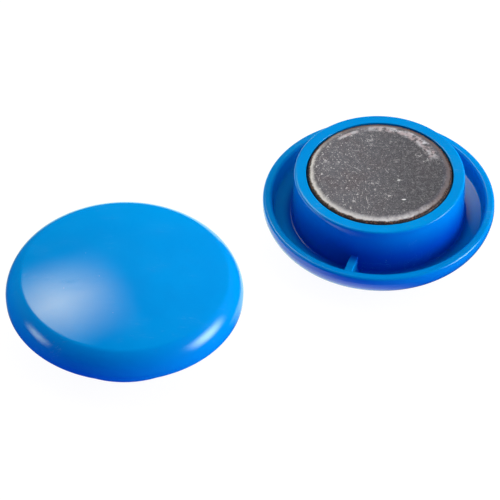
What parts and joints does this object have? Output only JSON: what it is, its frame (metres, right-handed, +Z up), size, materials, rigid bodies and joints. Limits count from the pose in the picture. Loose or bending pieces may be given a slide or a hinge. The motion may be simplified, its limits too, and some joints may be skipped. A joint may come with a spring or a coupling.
{
  "type": "holding magnets",
  "caption": "Round glossy holding magnets with a shallow domed cap and a ferrite disc bonded in the boss underneath, one standing on its magnet face and one turned over on its dome.",
  "frame": {"origin": "centre of the standing unit's magnet face, on the surface both units rest on", "axes": "+Z up, +X across the pair, +Y from the standing unit towards the turned unit"},
  "size_m": [0.083, 0.0641, 0.013],
  "materials": {
    "cap_plastic": "glossy moulded styrene, bright cyan blue",
    "ferrite": "matt ground sintered ferrite, dark warm grey with pale scuffs and a worn edge",
    "adhesive": "dark brown set adhesive"
  },
  "bodies": {
    "turned_unit": {"turned_cap": "cap_plastic", "turned_magnet": "ferrite", "turned_adhesive": "adhesive"},
    "standing_unit": {"standing_cap": "cap_plastic", "standing_magnet": "ferrite", "standing_adhesive": "adhesive"}
  },
  "joints": [
    {"name": "lift_off", "type": "slide", "parent": "turned_unit", "child": "standing_unit", "axis": [0, 0, 1], "range_m": [0, 0.03]}
  ]
}
